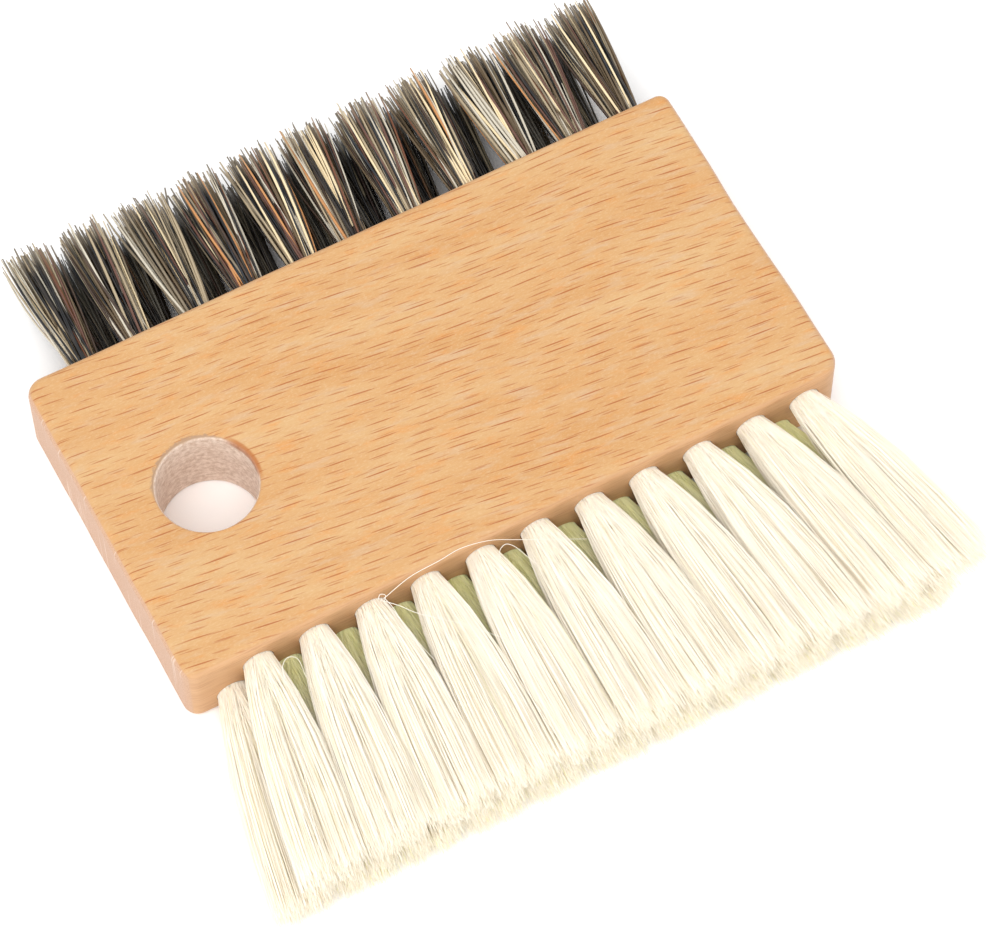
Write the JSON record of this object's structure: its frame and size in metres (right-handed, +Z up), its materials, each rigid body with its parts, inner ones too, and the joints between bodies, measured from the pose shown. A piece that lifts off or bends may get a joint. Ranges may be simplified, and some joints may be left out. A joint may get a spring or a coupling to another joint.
{
  "type": "bee brush",
  "caption": "Small two-sided hand brush: a beech block with soft light hair on one long edge, stiff dark bristle on the other, and a hanging hole.",
  "frame": {"origin": "centre of the block's underside, which is the face that it rests on", "axes": "+X along the block's long side, away from the hanging hole; -Y towards the light hair and +Y towards the dark bristle; +Z up out of the block's top face"},
  "size_m": [0.0964, 0.092, 0.0122],
  "materials": {
    "beech_wood": "sanded and lightly oiled beech",
    "light_hair": "fine soft cream animal hair, trimmed",
    "dark_bristle": "stiff mixed black, grey, tan and orange-brown bristle, glossy",
    "anchor_wire": "plain flat wire"
  },
  "bodies": {
    "root": {"handle_block": "beech_wood", "light_upper_tuft_01": "light_hair", "light_upper_tuft_02": "light_hair", "light_upper_tuft_03": "light_hair", "light_upper_tuft_04": "light_hair", "light_upper_tuft_05": "light_hair", "light_upper_tuft_06": "light_hair", "light_upper_tuft_07": "light_hair", "light_upper_tuft_08": "light_hair", "light_upper_tuft_09": "light_hair", "light_upper_tuft_10": "light_hair", "light_upper_tuft_11": "light_hair", "light_lower_tuft_01": "light_hair", "light_lower_tuft_02": "light_hair", "light_lower_tuft_03": "light_hair", "light_lower_tuft_04": "light_hair", "light_lower_tuft_05": "light_hair", "light_lower_tuft_06": "light_hair", "light_lower_tuft_07": "light_hair", "light_lower_tuft_08": "light_hair", "light_lower_tuft_09": "light_hair", "light_lower_tuft_10": "light_hair", "light_lower_tuft_11": "light_hair", "dark_upper_tuft_01": "dark_bristle", "dark_upper_tuft_02": "dark_bristle", "dark_upper_tuft_03": "dark_bristle", "dark_upper_tuft_04": "dark_bristle", "dark_upper_tuft_05": "dark_bristle", "dark_upper_tuft_06": "dark_bristle", "dark_upper_tuft_07": "dark_bristle", "dark_upper_tuft_08": "dark_bristle", "dark_upper_tuft_09": "dark_bristle", "dark_upper_tuft_10": "dark_bristle", "dark_upper_tuft_11": "dark_bristle", "dark_lower_tuft_01": "dark_bristle", "dark_lower_tuft_02": "dark_bristle", "dark_lower_tuft_03": "dark_bristle", "dark_lower_tuft_04": "dark_bristle", "dark_lower_tuft_05": "dark_bristle", "dark_lower_tuft_06": "dark_bristle", "dark_lower_tuft_07": "dark_bristle", "dark_lower_tuft_08": "dark_bristle", "dark_lower_tuft_09": "dark_bristle", "dark_lower_tuft_10": "dark_bristle"}
  },
  "joints": []
}
